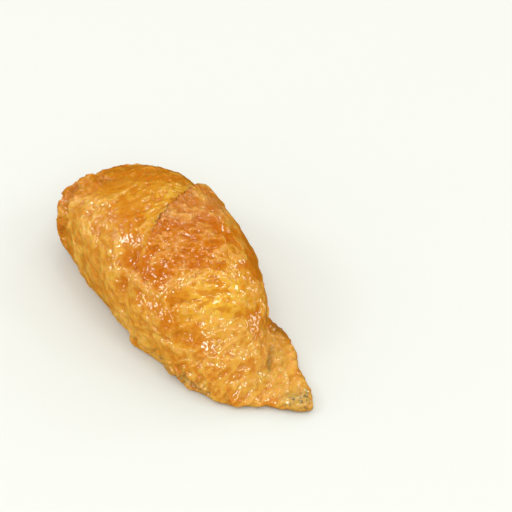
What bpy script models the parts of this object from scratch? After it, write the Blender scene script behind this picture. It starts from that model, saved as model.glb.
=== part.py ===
"""Inari sushi: a pouch of simmered fried tofu, shut round its rice.

The long side runs along X, with the flat tail of the pouch at +X. The pouch is one closed solid: a plump body, the
skin's front lap, whose rim crosses the top on a slant, and a flat tail where the skin runs on past the rice.
Metres, +Z up, standing on z = 0 with the origin under the middle of its box.
"""

import math

import bmesh
import bpy
from mathutils import Vector
from mathutils.geometry import intersect_point_line

MM = 0.001

# The body and its lap, seen from above: smooth closed outlines through these points, in millimetres, anticlockwise
# from the near end at +X. They are where each is widest.
BODY_OUTLINE = (
    (34.5, 0.0), (29.5, 6.0), (17.5, 13.2), (3.0, 17.2), (-14.0, 16.1), (-28.0, 13.9), (-37.5, 7.4), (-42.0, -2.0),
    (-41.0, -10.8), (-37.0, -17.6), (-27.5, -20.5), (-14.0, -20.0), (3.0, -17.0), (17.0, -12.2), (29.0, -6.6),
)
LAP_OUTLINE = (
    (34.5, 0.0), (30.5, 7.0), (17.5, 14.9), (3.0, 18.7), (-9.0, 18.7), (-20.0, 17.5), (-32.0, 14.0), (-40.0, 0.0),
    (-38.0, -14.0), (-26.0, -18.6), (-14.0, -18.9), (3.0, -16.6), (17.0, -11.8), (29.5, -6.6),
)
# Heights along X: (x, top, height at which it is widest, superellipse power of the sections), in millimetres.
CROWN = (
    (-42.0, 26.0, 10.5, 2.5), (-28.0, 28.4, 11.0, 2.4), (-8.0, 28.6, 11.0, 2.3), (12.0, 27.0, 9.0, 2.2),
    (25.0, 22.5, 3.0, 1.8), (36.0, 16.0, 2.0, 1.5),
)
LOWER_ROUNDNESS = 3.2  # the same power below the widest height
SETTLE = 0.7 * MM  # how far the soft underside is pressed flat
CONTACT = 0.25 * MM  # skin lower than this lies on the floor

# The front lap: a second layer of skin over the front of the body, whose rim lies in a slanting plane.
LAP_RISE = 1.2 * MM
LAP_POINT = Vector((-8.0 * MM, 0.0, 0.0))
LAP_TURN = math.radians(35.5)  # the rim's plane faces +X, turned this far towards +Y

# The flat tail: the skin past the rice, running out to a corner at the right of the near end, in millimetres.
TAIL_OUTLINE = (
    (4.0, -15.3), (8.6, -13.2), (14.0, -11.1), (20.0, -9.2), (24.8, -8.1), (28.2, -5.8), (32.3, -2.2), (35.0, 3.0),
    (38.4, 8.2), (40.6, 11.6), (40.0, 14.5), (34.4, 15.6), (27.8, 17.0), (22.6, 18.4), (18.6, 19.0), (14.0, 17.6),
    (6.0, 14.0),
)
TAIL_THICKNESS = 3.2 * MM
TAIL_EDGE = 1.1 * MM

# Hollows in the skin, in millimetres: (from, to, half width, depth).
HOLLOWS = (
    ((-1.2, 6.6, 28.6), (5.4, -1.7, 27.8), 4.0, 0.9),  # across the top, in front of the lap's rim
    ((-1.7, -11.8, 25.0), (2.4, -15.7, 18.0), 3.5, 0.9),  # where the rim runs out down the side
    ((7.4, -10.2, 23.0), (9.0, -11.4, 21.5), 4.0, 1.1),
    ((17.9, -6.1, 18.5), (20.9, 4.4, 16.8), 1.8, 0.6),  # creases where the near end slopes down
    ((18.7, -9.2, 13.7), (24.2, 1.5, 14.2), 1.8, 0.6),
    ((24.7, -4.0, 13.0), (26.7, 4.3, 11.2), 1.8, 0.5),
)

OUTLINE_STEPS = 72
HEIGHT_STEPS = 44
VOXEL = 0.8 * MM
SMOOTHING_STEPS = 7
KEPT_SHARE = 0.25  # of the skin's triangles, once the flatter parts are made coarser

SKIN_COLOUR = (0.72, 0.30, 0.05, 1.0)
SKIN_ROUGHNESS = 0.35


def clear_scene():
    for obj in list(bpy.data.objects):
        bpy.data.objects.remove(obj)


def smooth_closed(points, share):
    """The point at this share of the way round a closed Catmull-Rom curve through the points."""
    count = len(points)
    at = (share % 1.0) * count
    first = int(at)
    t = at - first
    before, start, end, after = (Vector(points[(first + step) % count]) for step in (-1, 0, 1, 2))
    bend = (2 * before - 5 * start + 4 * end - after) * t**2 + (3 * start - before - 3 * end + after) * t**3
    return 0.5 * (2 * start + (end - before) * t + bend)


def section_at(x):
    """At x: the body's top and its widest height, in metres, and the power of its upper half."""
    at = x / MM
    values = CROWN[-1][1:]
    for (x0, *low), (x1, *high) in zip(CROWN, CROWN[1:]):
        if at <= x1:
            t = max(0.0, (at - x0) / (x1 - x0))
            t = t * t * (3 - 2 * t)
            values = [a + (b - a) * t for a, b in zip(low, high)]
            break
    top, widest, roundness = values
    return top * MM, widest * MM, roundness


def plump_point(outline, share, latitude, rise):
    """A point of a plump form: latitude runs from -90 degrees under its middle to 90 on top."""
    edge = smooth_closed(outline, share) * MM
    _, edge_widest, edge_roundness = section_at(edge.x)
    roundness = edge_roundness if latitude > 0 else LOWER_ROUNDNESS
    reach = abs(math.cos(latitude)) ** (2 / roundness)
    lift = abs(math.sin(latitude)) ** (2 / roundness)
    x, y = edge * reach
    top, widest, _ = section_at(x)
    base = edge_widest + (widest - edge_widest) * (1 - reach)
    if latitude > 0:
        return Vector((x, y, base + (top + rise - base) * lift))
    return Vector((x, y, max(0.0, base * (1 - lift) - SETTLE * lift)))


def plump_form(name, outline, rise=0.0):
    """A closed form over a smooth outline, made from a sphere whose poles are under its middle and on top."""
    bm = bmesh.new()
    bmesh.ops.create_uvsphere(bm, u_segments=OUTLINE_STEPS, v_segments=HEIGHT_STEPS, radius=1.0)
    for vert in bm.verts:
        share = math.atan2(vert.co.y, vert.co.x) / math.tau
        latitude = math.asin(max(-1.0, min(1.0, vert.co.z)))
        vert.co = plump_point(outline, share, latitude, rise)
    mesh = bpy.data.meshes.new(name)
    bm.to_mesh(mesh)
    bm.free()
    return mesh


def front_lap():
    """The part of the lap's form in front of the rim's plane, closed at the cut."""
    lap = plump_form("front_lap", LAP_OUTLINE, LAP_RISE)
    normal = Vector((math.cos(LAP_TURN), math.sin(LAP_TURN), 0))
    bm = bmesh.new()
    bm.from_mesh(lap)
    everything = bm.verts[:] + bm.edges[:] + bm.faces[:]
    cut = bmesh.ops.bisect_plane(bm, geom=everything, plane_co=LAP_POINT, plane_no=normal, clear_inner=True)
    rim = [part for part in cut["geom_cut"] if isinstance(part, bmesh.types.BMEdge)]
    bmesh.ops.edgeloop_fill(bm, edges=rim)
    bm.to_mesh(lap)
    bm.free()
    return lap


def tail():
    """The tail's outline as a slab with a rounded edge, standing on the floor."""
    curve = bpy.data.curves.new("tail_outline", "CURVE")
    curve.dimensions = "2D"
    curve.fill_mode = "BOTH"
    curve.extrude = TAIL_THICKNESS / 2 - TAIL_EDGE
    curve.bevel_depth = TAIL_EDGE
    curve.bevel_resolution = 3
    spline = curve.splines.new("POLY")
    spline.points.add(len(TAIL_OUTLINE) - 1)
    for point, (x, y) in zip(spline.points, TAIL_OUTLINE):
        point.co = (x * MM, y * MM, 0, 1)
    spline.use_cyclic_u = True
    bm = bmesh.new()
    bm.from_mesh(shape_of(bpy.data.objects.new("tail", curve)))
    bmesh.ops.remove_doubles(bm, verts=bm.verts, dist=0.01 * MM)
    bmesh.ops.recalc_face_normals(bm, faces=bm.faces)
    bmesh.ops.translate(bm, verts=bm.verts, vec=(0, 0, TAIL_THICKNESS / 2))
    mesh = bpy.data.meshes.new("tail")
    bm.to_mesh(mesh)
    bm.free()
    return mesh


def shape_of(obj):
    """The mesh that an object has with its modifiers applied; the object itself is taken away."""
    bpy.context.scene.collection.objects.link(obj)
    bpy.context.view_layer.update()
    graph = bpy.context.evaluated_depsgraph_get()
    mesh = bpy.data.meshes.new_from_object(obj.evaluated_get(graph))
    bpy.data.objects.remove(obj)
    return mesh


def as_one_skin(meshes):
    """One even skin round several overlapping closed meshes."""
    bm = bmesh.new()
    for mesh in meshes:
        bm.from_mesh(mesh)
    joined = bpy.data.meshes.new("joined")
    bm.to_mesh(joined)
    bm.free()
    obj = bpy.data.objects.new("joined", joined)
    remesh = obj.modifiers.new("skin", "REMESH")
    remesh.mode = "VOXEL"
    remesh.voxel_size = VOXEL
    smooth = obj.modifiers.new("soften", "SMOOTH")
    smooth.factor = 0.5
    smooth.iterations = SMOOTHING_STEPS
    return shape_of(obj)


def press_hollows(mesh):
    """Push the skin in along its normals, most along the line of each hollow."""
    pressed = []
    for vert in mesh.vertices:
        depth = 0.0
        for start, end, half_width, deepest in HOLLOWS:
            a = Vector(start) * MM
            b = Vector(end) * MM
            _, share = intersect_point_line(vert.co, a, b)
            nearest = a.lerp(b, max(0.0, min(1.0, share)))
            away = (vert.co - nearest).length / (half_width * MM)
            depth += deepest * MM * math.exp(-away * away)
        pressed.append(vert.co - vert.normal * depth)
    for vert, place in zip(mesh.vertices, pressed):
        vert.co = place


def stand_on_floor(mesh):
    """Put the origin under the middle of the mesh's box, and press flat what nearly touches the floor."""
    spans = []
    for axis in range(3):
        values = [vert.co[axis] for vert in mesh.vertices]
        spans.append((min(values), max(values)))
    middle = Vector(((spans[0][0] + spans[0][1]) / 2, (spans[1][0] + spans[1][1]) / 2, spans[2][0]))
    for vert in mesh.vertices:
        vert.co -= middle
        if vert.co.z < CONTACT:
            vert.co.z = 0.0


def skin_material():
    material = bpy.data.materials.new("tofu_skin")
    material.use_nodes = True
    shader = material.node_tree.nodes["Principled BSDF"]
    shader.inputs["Base Color"].default_value = SKIN_COLOUR
    shader.inputs["Roughness"].default_value = SKIN_ROUGHNESS
    return material


def main():
    clear_scene()
    collection = bpy.data.collections.new("inari_sushi")
    bpy.context.scene.collection.children.link(collection)
    skin = as_one_skin([plump_form("body", BODY_OUTLINE), front_lap(), tail()])
    press_hollows(skin)
    stand_on_floor(skin)
    skin.name = "tofu_pouch"
    pouch = bpy.data.objects.new("tofu_pouch", skin)
    pouch.data.materials.append(skin_material())
    collection.objects.link(pouch)
    for face in skin.polygons:
        face.use_smooth = True
    coarser = pouch.modifiers.new("coarser", "DECIMATE")
    coarser.ratio = KEPT_SHARE


main()
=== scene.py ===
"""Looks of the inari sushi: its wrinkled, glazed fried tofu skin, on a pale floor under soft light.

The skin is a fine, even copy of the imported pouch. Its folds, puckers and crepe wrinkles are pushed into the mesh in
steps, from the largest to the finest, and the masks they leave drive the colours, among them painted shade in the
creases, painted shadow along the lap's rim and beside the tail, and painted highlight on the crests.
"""

import itertools
import math

import bpy
import numpy as np
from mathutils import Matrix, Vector


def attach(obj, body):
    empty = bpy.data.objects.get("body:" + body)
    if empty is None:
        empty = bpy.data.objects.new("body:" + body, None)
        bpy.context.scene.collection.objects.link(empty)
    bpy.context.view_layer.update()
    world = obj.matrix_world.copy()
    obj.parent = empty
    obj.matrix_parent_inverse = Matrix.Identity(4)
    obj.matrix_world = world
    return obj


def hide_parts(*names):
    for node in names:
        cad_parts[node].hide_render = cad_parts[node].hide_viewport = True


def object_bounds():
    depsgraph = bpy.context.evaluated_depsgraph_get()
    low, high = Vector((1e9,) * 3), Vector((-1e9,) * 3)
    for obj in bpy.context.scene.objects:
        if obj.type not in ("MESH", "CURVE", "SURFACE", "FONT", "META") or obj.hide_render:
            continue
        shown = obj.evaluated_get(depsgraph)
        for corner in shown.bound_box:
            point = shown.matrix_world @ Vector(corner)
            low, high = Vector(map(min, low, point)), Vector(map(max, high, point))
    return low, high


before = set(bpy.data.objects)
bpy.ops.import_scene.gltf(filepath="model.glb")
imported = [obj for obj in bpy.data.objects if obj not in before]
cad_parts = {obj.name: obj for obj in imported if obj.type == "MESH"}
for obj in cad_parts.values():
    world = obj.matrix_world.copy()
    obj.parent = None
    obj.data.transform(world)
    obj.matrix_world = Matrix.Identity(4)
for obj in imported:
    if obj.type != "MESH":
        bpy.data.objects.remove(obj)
CAD_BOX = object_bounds()

MM = 0.001
NODE = "tofu_pouch"
LOW = np.array(CAD_BOX[0])
HIGH = np.array(CAD_BOX[1])

VOXEL = 0.335 * MM
SMOOTHING_STEPS = 16

# The front lap's rim lies near a slanting plane, in the frame's millimetres.
RIM_POINT = np.array((-7.7, 0.3, 0.0))
RIM_TURN = math.radians(35.5)

# Which way the wrinkles face, in degrees: turned from +X towards +Y, and then tilted down.
BACK_GRAIN = (18, 0)
LAP_GRAIN = (-14, 0)
NEAR_GRAIN = (30, 28)
LEFT_GRAIN = (-60, -35)
RIGHT_GRAIN = (45, -20)

# Folds in the skin, in the frame's millimetres: (points along it, half width, height, or under 0 for a groove).
FOLDS = (
    (((17, 14, 14), (25, 9, 10), (31, 5, 6)), 1.6, 0.4),  # the shoulder over the tail
    (((16, 16, 7), (22, 14, 4), (28, 10.5, 3.5)), 0.8, -0.65),  # where the body drops to the tail
    (((22, 16, 3), (30, 14, 3), (37, 11, 3)), 1.2, -0.5),  # along the tail
    (((24, 18, 3), (32, 16, 3), (38, 14, 3)), 1.4, 0.5),
    (((-1, -12, 23), (1, -15, 17), (3, -17, 8)), 1.4, -0.55),  # down the flank
    (((-12, -16, 21), (-9, -18, 14), (-7, -18, 7)), 1.4, -0.4),
    (((-20, -17, 20), (-17, -20, 12)), 1.3, -0.35),
    (((10, -10, 21), (11, -14, 13), (12, -15, 6)), 1.3, -0.35),
    (((-26, -19, 19), (-22, -20, 10), (-21, -20, 4)), 1.5, -0.45),
    (((5, -14, 20), (6, -16, 12), (8, -16, 5)), 1.5, 0.35),
    (((-38, -8, 19), (-31, -8, 24.5), (-26, -1, 26.5), (-27, 6, 25)), 1.1, -0.45),  # across the far end
    (((-36, -14, 16), (-27, -15, 23), (-20, -11, 26)), 1.5, 0.4),
    (((12, -12, 17), (16, -4, 22), (17, 6, 21)), 1.0, -0.4),  # across the slope of the near end
    (((15, -13, 11), (21, -7, 16), (22, 2, 16.5), (21, 9, 16)), 1.0, -0.4),
    (((22, -9, 9), (27, -4, 10.5), (29, 2, 9)), 1.0, -0.35),
)

# The camera looks down on the pouch, with its tail corner to the near right.
CAMERA_AZIMUTH = math.radians(65)
CAMERA_ELEVATION = math.radians(45)
CAMERA_DISTANCE = 0.711
CAMERA_LENS = 200
AIM = Vector((-2.4, 21.3, 9.5)) * MM


def lattice_noise(points, seed):
    """Gradient noise at each point, about -1 to 1, with one bump to each unit."""
    rng = np.random.default_rng(seed)
    slopes = rng.normal(size=(256, 3))
    slopes /= np.linalg.norm(slopes, axis=1, keepdims=True)
    order = rng.permutation(256)
    cell = np.floor(points).astype(int)
    local = points - cell
    fade = local**3 * (local * (local * 6 - 15) + 10)
    total = np.zeros(len(points))
    for corner in itertools.product((0, 1), repeat=3):
        at = (cell + corner) & 255
        index = order[(order[(order[at[:, 0]] + at[:, 1]) & 255] + at[:, 2]) & 255]
        pull = (slopes[index] * (local - corner)).sum(1)
        total += pull * np.where(corner, fade, 1 - fade).prod(1)
    return total * 1.7


def puckers(points, seed, softness=0.12):
    """Puffed cells parted by creases: about 0 in a crease and 1 on top of a cell."""
    noise = lattice_noise(points, seed) * 2.2
    return np.minimum(1.0, np.sqrt(noise * noise + softness * softness) - softness)


def ridges(points, seed, softness=0.12):
    """Winding crests: about 1 on a crest and 0 well away from it."""
    return 1.0 - puckers(points, seed, softness)


def step(value, low, high):
    """0 below low, 1 above high and smooth between."""
    t = np.clip((value - low) / (high - low), 0.0, 1.0)
    return t * t * (3 - 2 * t)


def evaluated_mesh(obj):
    bpy.context.view_layer.update()
    graph = bpy.context.evaluated_depsgraph_get()
    return bpy.data.meshes.new_from_object(obj.evaluated_get(graph))


def fine_copy(node):
    """The node's shape as an even mesh, fine enough to carry the wrinkles."""
    obj = bpy.data.objects.new("fine_copy", node.data.copy())
    bpy.context.scene.collection.objects.link(obj)
    weld = obj.modifiers.new("weld", "WELD")
    weld.merge_threshold = 0.00001
    remesh = obj.modifiers.new("remesh", "REMESH")
    remesh.mode = "VOXEL"
    remesh.voxel_size = VOXEL
    smooth = obj.modifiers.new("smooth", "SMOOTH")
    smooth.factor = 0.5
    smooth.iterations = SMOOTHING_STEPS
    mesh = evaluated_mesh(obj)
    bpy.data.objects.remove(obj)
    return mesh


def read(mesh, name):
    values = np.empty(len(mesh.vertices) * 3)
    mesh.vertices.foreach_get(name, values)
    return values.reshape(-1, 3)


def write(mesh, places):
    mesh.vertices.foreach_set("co", places.ravel())
    mesh.update()


def paint(mesh, name, values):
    layer = mesh.attributes.new(name, "FLOAT", "POINT")
    layer.data.foreach_set("value", values.astype(np.float32))


def rim_distance(mm):
    """How far each point is in front of the lap's rim, which wavers."""
    across = np.array((math.cos(RIM_TURN), math.sin(RIM_TURN), 0.0))
    waver = 0.9 * lattice_noise(mm / 9.0, 11) + 0.45 * lattice_noise(mm / 3.0, 12)
    return (mm - RIM_POINT) @ across + waver


def near(mm, centre, radii):
    """1 at the centre, falling smoothly to 0 a little past the radii."""
    away = (mm - np.array(centre)) / np.array(radii)
    return np.exp(-(away * away).sum(1))


def along(mm, points, half_width):
    """1 on a line through the points, falling smoothly to 0 past its half width."""
    nearest = np.full(len(mm), np.inf)
    for start, end in zip(points, points[1:]):
        a = np.array(start)
        run = np.array(end) - a
        share = np.clip((mm - a) @ run / (run @ run), 0.0, 1.0)
        nearest = np.minimum(nearest, np.linalg.norm(mm - a - share[:, None] * run, axis=1))
    return np.exp(-((nearest / half_width) ** 2))


def turned(mm, turn, tilt):
    """Coordinates whose first axis crosses the wrinkles."""
    t = math.radians(turn)
    p = math.radians(tilt)
    across = (math.cos(t) * math.cos(p), math.sin(t) * math.cos(p), -math.sin(p))
    level = (-math.sin(t), math.cos(t), 0.0)
    upward = (math.cos(t) * math.sin(p), math.sin(t) * math.sin(p), math.cos(p))
    return mm @ np.array((across, level, upward)).T


def by_grain(mm, rim, pattern):
    """A pattern laid along each part's own grain, and blended where the parts meet."""
    in_front = step(rim, -2.0, 2.0)
    near_end = step(mm[:, 0], 18.0, 25.0)
    left = (1.0 - near_end) * step(-mm[:, 1], 6.0, 13.0)
    right = (1.0 - near_end) * step(mm[:, 1], 5.0, 12.0)
    top = 1.0 - near_end - left - right
    total = top * (1.0 - in_front) * pattern(turned(mm, *BACK_GRAIN))
    total += top * in_front * pattern(turned(mm, *LAP_GRAIN))
    total += left * pattern(turned(mm, *LEFT_GRAIN))
    total += right * pattern(turned(mm, *RIGHT_GRAIN))
    return total + near_end * pattern(turned(mm, *NEAR_GRAIN))


def drift(mm, size, reach, seed):
    """A smooth random shift of each point, so that no pattern runs straight."""
    return np.stack([lattice_noise(mm / size, seed + axis) for axis in range(3)], axis=1) * reach


def cloud(points, seed, layers=3):
    """Several layers of noise, each half the size and height of the one before."""
    return sum(lattice_noise(points * 2**layer, seed + layer) / 2**layer for layer in range(layers))


def push(mesh, height, mask):
    """Move the skin out along its normals by a height in millimetres."""
    write(mesh, read(mesh, "co") + read(mesh, "normal") * (height * mask * MM)[:, None])


def shape_skin(mesh):
    mm = read(mesh, "co") / MM
    off_floor = step(mm[:, 2], 0.3, 2.5)

    rim = rim_distance(mm)
    shown = step(mm[:, 1], -12.0, -3.0) * off_floor
    lip = np.where(rim > 0, np.exp(-(((rim - 0.5) / 0.9) ** 2)), 0.0) * shown
    groove = np.exp(-(((rim + 0.3) / 0.35) ** 2)) * shown
    across = np.array((math.cos(RIM_TURN), math.sin(RIM_TURN), 0.0))
    push(mesh, 0.55 * lip - 0.5 * groove, 1.0)
    frayed = 0.6 + 0.5 * cloud(mm / 2.4, 56, 2)
    write(mesh, read(mesh, "co") - across * (frayed * lip * MM)[:, None])

    tip = near(mm, (40.6, 13.4, 1.5), (2.6, 2.6, 4.0))
    write(mesh, read(mesh, "co") + np.array((0.8, 0.6, 0.0)) * (2.2 * MM * tip)[:, None])
    low = step(mm[:, 0], -3.0, 6.0) * step(-mm[:, 2], -6.0, -3.0)
    waves = 0.9 * cloud((mm + drift(mm, 4.0, 1.0, 50)) / (4.0, 4.0, 9.0), 52, 2)
    outward = read(mesh, "normal") * (1.0, 1.0, 0.0)
    write(mesh, read(mesh, "co") + outward * (waves * low * MM)[:, None])

    folds = np.zeros(len(mm))
    wandering = mm + drift(mm, 5.0, 0.9, 60)
    for points, half_width, height in FOLDS:
        folds += height * along(wandering, points, half_width)
    lumps = lattice_noise(mm / 13.0, 1) * 0.3 + lattice_noise(mm / 6.0, 2) * 0.12
    push(mesh, folds + lumps, off_floor)

    far_left = step(-mm[:, 0], 24.0, 31.0) * step(-mm[:, 1], 2.0, 9.0)
    low_left = step(mm[:, 0], 2.0, 10.0) * step(-mm[:, 1], 2.0, 9.0) * step(-mm[:, 2], -9.0, -4.0)
    ragged = far_left + low_left
    notches = puckers((mm + drift(mm, 4.0, 1.5, 20)) / (2.6, 3.0, 3.0), 15, 0.1) - 0.5
    flakes = step(cloud((mm + drift(mm, 3.0, 1.0, 26)) / 4.2, 18, 2), -0.04, 0.04) - 0.5
    push(mesh, (0.6 * notches + (0.9 + 0.4 * far_left) * flakes) * np.minimum(ragged, 1.0), off_floor)

    loose = mm + drift(mm, 8.0, 2.4, 3)
    smooth_back = 0.25 * step(-rim, 1.0, 6.0)
    islands = by_grain(loose, rim, lambda lined: cloud(lined / (4.5, 7.5, 7.5), 16))
    islands = step(islands - smooth_back, -0.25, 0.45)
    broken = step(cloud(mm / 5.0, 40), 0.0, 0.5)
    creases = by_grain(loose, rim, lambda lined: ridges(lined / (4.2, 9.5, 9.5), 6, 0.1) ** 3) * broken
    at_rim = np.exp(-((rim / 1.6) ** 2)) * shown
    soft = 1.0 + 0.5 * step(-mm[:, 1], 7.0, 13.0) + 0.5 * near(mm, (3, 2, 28), (9, 12, 9)) - 0.3 * near(mm, (16, 2, 21), (5, 8, 6))
    coarse = (0.22 * (islands - 0.5) - 0.18 * creases) * (1.0 - 0.4 * at_rim) * soft
    push(mesh, coarse, off_floor)

    loose = mm + drift(mm, 4.0, 1.0, 24)
    flank = 1.0 + 0.1 * step(-mm[:, 1], 7.0, 13.0)
    wrinkles = by_grain(loose, rim, lambda lined: ridges(lined / (2.0, 4.4, 4.4), 7, 0.15))
    bumps = by_grain(loose, rim, lambda lined: cloud(lined / (1.25, 2.8, 2.8), 14, 2))
    dashes = by_grain(loose, rim, lambda lined: ridges(lined / (1.7, 4.8, 4.8), 34, 0.1) ** 3)
    dashes = dashes * step(cloud(mm / 2.5, 44, 2), -0.1, 0.4)
    worked = (0.55 + 0.45 * islands) * flank * (1.0 - 0.4 * step(mm[:, 1], 6.0, 13.0) * step(mm[:, 2], 13.0, 19.0))
    scuffed = step(rim, -0.2, 0.5) * np.exp(-((rim / 4.5) ** 2)) * shown
    crumples = puckers(loose / 1.7, 48, 0.1) - 0.5
    push(mesh, 0.45 * crumples * scuffed, off_floor)
    gathered = 0.20 - 0.12 * step(mm[:, 0], 16.0, 24.0)
    fine = gathered * (wrinkles - 0.5) + 0.32 * bumps - 0.22 * dashes
    fine = fine * worked * (1.0 - 0.2 * at_rim)
    push(mesh, fine, off_floor)

    places = read(mesh, "co")
    places[:, 2] = np.maximum(places[:, 2], 0.0)
    write(mesh, places)

    paint(mesh, "island", islands)
    # The relief drives colour: amber in the low places and pale on the tops, partly the skin's own colour and partly
    # painted shade and painted highlight.
    relief = (0.6 * bumps + 0.5 * (islands - 0.5) - 0.5 * creases - 0.5 * dashes) * flank
    relief += 0.8 * crumples * scuffed
    paint(mesh, "relief", relief)
    # Painted shadow: a thin dark line along the lap's rim, where the lip's edge shades the skin just behind it.
    rim_shadow_line = np.exp(-(((rim - 0.15) / 0.45) ** 2)) * shown * (1.0 - 0.5 * step(mm[:, 1], 8.0, 15.0))
    paint(mesh, "rim_shadow_line", rim_shadow_line * step(cloud(mm / 2.0, 58, 2), -0.9, -0.1))
    paint(mesh, "hem", step(rim, -0.3, 0.2) * np.exp(-np.maximum(rim, 0.0) / 2.6) * shown)
    browned = near(mm, (-4.5, 6, 29), (6.5, 8, 6)) + near(mm, (-9, 14, 26), (5, 3.5, 4))
    browned = browned * step(rim, -0.3, 0.6)
    paint(mesh, "browned", browned)
    bright = near(mm, (17, 2, 21), (8, 10, 8)) + 0.3 * np.exp(-(((rim + 3.0) / 2.5) ** 2)) * shown
    bright += 0.5 * near(mm, (-17, -2, 29), (9, 11, 8)) * step(-rim, 0.0, 1.0)
    bright += 0.4 * near(mm, (32, 14, 3), (7, 5, 4))
    paint(mesh, "bright", bright)
    deep = near(mm, (3, 3, 28), (9, 12, 9)) * step(rim, 0.0, 2.0)
    deep += along(mm, ((0, 8, 28), (3, 3, 28), (6, -1, 27), (7, -9, 22)), 3.0)
    deep += 0.6 * near(mm, (-2, -5, 28), (8, 8, 7)) * step(rim, 0.0, 2.0)
    deep += 0.8 * along(mm, ((-1, -12, 23), (1, -14, 20)), 3.5)
    deep += 0.65 * along(mm, ((-4, 18, 18), (10, 15.5, 18)), 4.0)
    # Painted shade: a darker russet in the creases of the deep-orange areas.
    paint(mesh, "russet_crease_shade", np.minimum(deep, 1.0) * step(-relief, 0.05, 0.5))
    deep += 0.2 * far_left
    paint(mesh, "deep", np.minimum(deep, 1.0) * (1.6 - 0.9 * islands))
    tan = step(mm[:, 0], 17.0, 28.0) + (0.8 - 0.4 * far_left) * step(-mm[:, 1], 7.0, 15.0)
    paint(mesh, "tan", np.minimum(tan, 1.0))
    # Painted shadow: a dark brown line in the crease where the body drops to the tail, and a dark patch at the tail's
    # inner corner.
    painted_shadow = 0.4 * along(mm, ((14, 18, 4), (20, 16, 4), (24, 14, 4), (28, 10.5, 3.5)), 0.8)
    painted_shadow += 0.35 * along(mm, ((22, 14, 3.5), (29, 10, 3.5)), 0.8)
    painted_shadow += 0.8 * near(mm, (16.5, 19, 3), (5.0, 2.0, 4))
    paint(mesh, "painted_shadow", np.minimum(painted_shadow, 1.0))
    worn = near(mm, (39.5, 12.5, 2.5), (3.0, 4.0, 4)) + 0.7 * along(mm, ((14, -13, 3), (28, -7, 3)), 2.2)
    paint(mesh, "worn", worn)


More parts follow.
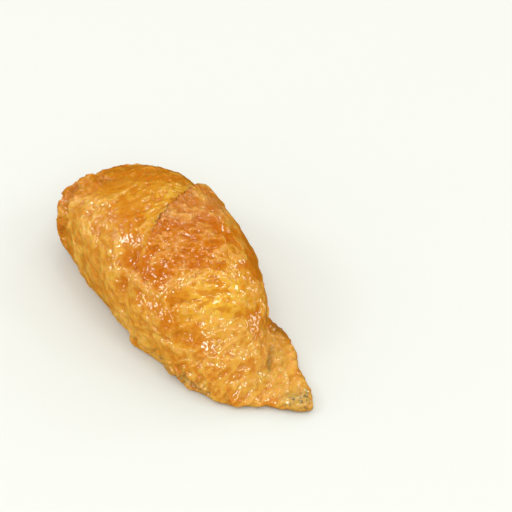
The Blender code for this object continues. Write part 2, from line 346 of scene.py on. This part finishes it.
def skin_material():
    material = bpy.data.materials.new("glazed_tofu_skin")
    material.use_nodes = True
    nodes = material.node_tree.nodes
    links = material.node_tree.links
    shader = nodes["Principled BSDF"]
    shader.inputs["Roughness"].default_value = 0.35
    shader.inputs["Specular IOR Level"].default_value = 0.35
    shader.inputs["Specular Tint"].default_value = (0.8, 1.0, 0.3, 1.0)
    shader.inputs["Subsurface Weight"].default_value = 1.0
    shader.inputs["Subsurface Radius"].default_value = (1.0, 0.45, 0.15)
    shader.inputs["Subsurface Scale"].default_value = 0.0010
    shader.inputs["Coat Weight"].default_value = 1.0
    shader.inputs["Coat Roughness"].default_value = 0.10
    shader.inputs["Coat IOR"].default_value = 2.0
    shader.inputs["Sheen Weight"].default_value = 0.5
    shader.inputs["Sheen Roughness"].default_value = 0.3
    shader.inputs["Sheen Tint"].default_value = (1.0, 0.38, 0.01, 1.0)

    place = nodes.new("ShaderNodeTexCoord").outputs["Object"]

    def noise(scale, detail, roughness=0.55, distortion=0.0):
        node = nodes.new("ShaderNodeTexNoise")
        node.inputs["Scale"].default_value = scale
        node.inputs["Detail"].default_value = detail
        node.inputs["Roughness"].default_value = roughness
        node.inputs["Distortion"].default_value = distortion
        links.new(place, node.inputs["Vector"])
        return node.outputs["Fac"]

    def attribute(name):
        node = nodes.new("ShaderNodeAttribute")
        node.attribute_name = name
        return node.outputs["Fac"]

    def mapped(value, low, high, to_low=0.0, to_high=1.0):
        node = nodes.new("ShaderNodeMapRange")
        node.interpolation_type = "SMOOTHSTEP"
        node.inputs["From Min"].default_value = low
        node.inputs["From Max"].default_value = high
        node.inputs["To Min"].default_value = to_low
        node.inputs["To Max"].default_value = to_high
        links.new(value, node.inputs["Value"])
        return node.outputs["Result"]

    def mixed(factor, low, high):
        node = nodes.new("ShaderNodeMix")
        node.data_type = "RGBA"
        links.new(factor, node.inputs["Factor"])
        for socket, value in ((node.inputs["A"], low), (node.inputs["B"], high)):
            if isinstance(value, tuple):
                socket.default_value = value
            else:
                links.new(value, socket)
        return node.outputs["Result"]

    golden = (0.76, 0.343, 0.02, 1.0)
    tan = (0.88, 0.50, 0.09, 1.0)
    yellow = (1.0, 0.60, 0.06, 1.0)
    orange = (0.66, 0.18, 0.002, 1.0)
    # the colour of the painted shade in the creases of the deep-orange areas
    russet_crease_shade = (0.60, 0.14, 0.001, 1.0)
    # amber: the valleys' deeper colour with painted shade in the creases, and a random tone; pale: paler crests with
    # painted highlight on them, and grains
    amber = (0.66, 0.185, 0.003, 1.0)
    pale = (0.88, 0.47, 0.11, 1.0)
    pink = (0.72, 0.28, 0.10, 1.0)
    brown = (0.56, 0.22, 0.06, 1.0)
    # the colour of the painted shadow along the lap's rim
    rim_shadow_umber = (0.14, 0.045, 0.008, 1.0)
    # the colour of the painted shadow in the tail crease and at the tail's corner
    painted_shadow = (0.24, 0.105, 0.014, 1.0)
    olive = (0.58, 0.38, 0.11, 1.0)
    grey = (0.13, 0.11, 0.07, 1.0)
    colour = mixed(mapped(noise(80, 3), 0.35, 0.65, 0.2, 0.6), orange, golden)
    colour = mixed(mapped(attribute("island"), 0.0, 1.0, 0.0, 0.7), colour, golden)
    colour = mixed(mapped(attribute("tan"), 0.0, 1.0, 0.0, 0.75), colour, tan)
    colour = mixed(mapped(attribute("bright"), 0.1, 1.0, 0.0, 0.9), colour, yellow)
    colour = mixed(mapped(attribute("deep"), 0.1, 1.0, 0.0, 0.75), colour, orange)
    colour = mixed(mapped(attribute("browned"), 0.1, 1.0, 0.0, 0.6), colour, pink)
    colour = mixed(mapped(attribute("hem"), 0.1, 0.9, 0.0, 0.7), colour, brown)
    # partly the skin's own darker valleys and paler crests, partly painted shade in the creases and painted highlight
    # on the crests
    colour = mixed(mapped(attribute("relief"), 0.0, -0.6, 0.0, 0.65), colour, amber)
    colour = mixed(mapped(attribute("relief"), 0.0, 0.5, 0.0, 0.6), colour, pale)
    grains = nodes.new("ShaderNodeMath")
    grains.operation = "MULTIPLY"
    links.new(mapped(noise(900, 3), 0.45, 0.62, 0.0, 0.8), grains.inputs[0])
    links.new(mapped(attribute("island"), 0.2, 0.9, 0.25, 1.0), grains.inputs[1])
    colour = mixed(grains.outputs["Value"], colour, pale)
    colour = mixed(mapped(noise(700, 3), 0.5, 0.3, 0.0, 0.35), colour, amber)
    colour = mixed(mapped(attribute("deep"), 0.1, 1.0, 0.0, 0.4), colour, orange)
    # painted shade in the creases of the deep-orange areas
    colour = mixed(mapped(attribute("russet_crease_shade"), 0.0, 1.0, 0.0, 0.6), colour, russet_crease_shade)
    # painted shadow along the lap's rim
    colour = mixed(mapped(attribute("rim_shadow_line"), 0.2, 0.8, 0.0, 1.0), colour, rim_shadow_umber)
    # painted shadow in the tail crease and at the tail's corner
    colour = mixed(mapped(attribute("painted_shadow"), 0.1, 0.9, 0.0, 0.65), colour, painted_shadow)
    worn = mapped(attribute("worn"), 0.1, 1.0, 0.0, 0.6)
    colour = mixed(worn, colour, olive)
    specks = nodes.new("ShaderNodeMath")
    specks.operation = "MULTIPLY"
    links.new(worn, specks.inputs[0])
    links.new(mapped(noise(1000, 2), 0.54, 0.64, 0.0, 1.3), specks.inputs[1])
    colour = mixed(specks.outputs["Value"], colour, grey)
    links.new(colour, shader.inputs["Base Color"])

    def bumped(height, distance, before=None):
        node = nodes.new("ShaderNodeBump")
        node.inputs["Strength"].default_value = 1.0
        node.inputs["Distance"].default_value = distance
        links.new(height, node.inputs["Height"])
        if before:
            links.new(before, node.inputs["Normal"])
        return node.outputs["Normal"]

    glaze = bumped(noise(550, 1.0, 0.5, 0.8), 0.15 * MM)
    links.new(glaze, shader.inputs["Coat Normal"])
    links.new(bumped(noise(1300, 2), 0.4 * MM, glaze), shader.inputs["Normal"])
    return material


def make_skin():
    mesh = fine_copy(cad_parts[NODE])
    shape_skin(mesh)
    mesh.materials.clear()
    mesh.materials.append(skin_material())
    for face in mesh.polygons:
        face.use_smooth = True
    skin = bpy.data.objects.new("tofu_skin", mesh)
    bpy.context.scene.collection.objects.link(skin)
    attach(skin, "root")
    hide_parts(NODE)
    return skin


def make_floor():
    mesh = bpy.data.meshes.new("floor")
    half = 1.5
    mesh.from_pydata([(-half, -half, 0), (half, -half, 0), (half, half, 0), (-half, half, 0)], [], [(0, 1, 2, 3)])
    floor = bpy.data.objects.new("floor", mesh)
    floor.location.z = -0.02 * MM
    material = bpy.data.materials.new("pale_floor")
    material.use_nodes = True
    shader = material.node_tree.nodes["Principled BSDF"]
    shader.inputs["Base Color"].default_value = (0.785, 0.775, 0.75, 1.0)
    shader.inputs["Roughness"].default_value = 0.8
    mesh.materials.append(material)
    bpy.context.scene.collection.objects.link(floor)
    floor.visible_glossy = False  # the glaze mirrors a dim room, not the bright floor


def make_light(name, azimuth, elevation, distance, size, power, colour=(0.82, 1.0, 0.96)):
    """A square soft box that faces the middle of the pouch."""
    data = bpy.data.lights.new(name, "AREA")
    data.shape = "SQUARE"
    data.size = size
    data.energy = power
    data.color = colour
    lamp = bpy.data.objects.new(name, data)
    a = math.radians(azimuth)
    e = math.radians(elevation)
    back = Vector((math.sin(a) * math.cos(e), -math.cos(a) * math.cos(e), math.sin(e)))
    lamp.location = back * distance + Vector((0, 0, 0.015))
    lamp.rotation_mode = "QUATERNION"
    lamp.rotation_quaternion = back.to_track_quat("Z", "Y")
    bpy.context.scene.collection.objects.link(lamp)


def make_lights():
    make_light("behind", 245, 50, 0.9, 0.15, 0.2)
    make_light("top", 239, 74, 0.9, 0.12, 0.16)
    make_light("over", 120, 70, 0.9, 0.16, 0.42)
    make_light("brow", 118, 42, 0.9, 0.14, 0.3)
    make_light("left", -20, 42, 0.9, 0.18, 0.75)
    make_light("low_left", 292, 32, 0.9, 0.16, 0.15)
    make_light("side", 318, 20, 0.9, 0.18, 0.25)
    make_light("low_side", 346, 7, 0.9, 0.15, 0.35)
    make_light("low_front", 14, 8, 0.9, 0.15, 0.3)
    make_light("low_right", 172, 8, 0.9, 0.15, 0.3)
    make_light("front", 72, 40, 0.9, 0.16, 0.6)
    make_light("high_front", 45, 62, 0.9, 0.15, 0.5)
    make_light("right", 150, 40, 0.9, 0.14, 0.4)
    make_light("tail", 206, 32, 0.9, 0.14, 0.25)
    world = bpy.data.worlds.new("studio")
    world.use_nodes = True
    world.node_tree.nodes["Background"].inputs["Color"].default_value = (1.0, 0.97, 0.93, 1.0)
    world.node_tree.nodes["Background"].inputs["Strength"].default_value = 0.97
    world.cycles_visibility.glossy = False
    bpy.context.scene.world = world


def make_camera():
    data = bpy.data.cameras.new("camera")
    data.lens = CAMERA_LENS
    data.clip_start = 0.05
    data.clip_end = 10.0
    camera = bpy.data.objects.new("camera", data)
    a, e = CAMERA_AZIMUTH, CAMERA_ELEVATION
    back = Vector((math.sin(a) * math.cos(e), -math.cos(a) * math.cos(e), math.sin(e)))
    camera.location = AIM + back * CAMERA_DISTANCE
    camera.rotation_mode = "QUATERNION"
    camera.rotation_quaternion = (-back).to_track_quat("-Z", "Y")
    bpy.context.scene.collection.objects.link(camera)
    bpy.context.scene.camera = camera


make_skin()
make_floor()
make_lights()
make_camera()
bpy.context.scene.view_settings.view_transform = "Standard"
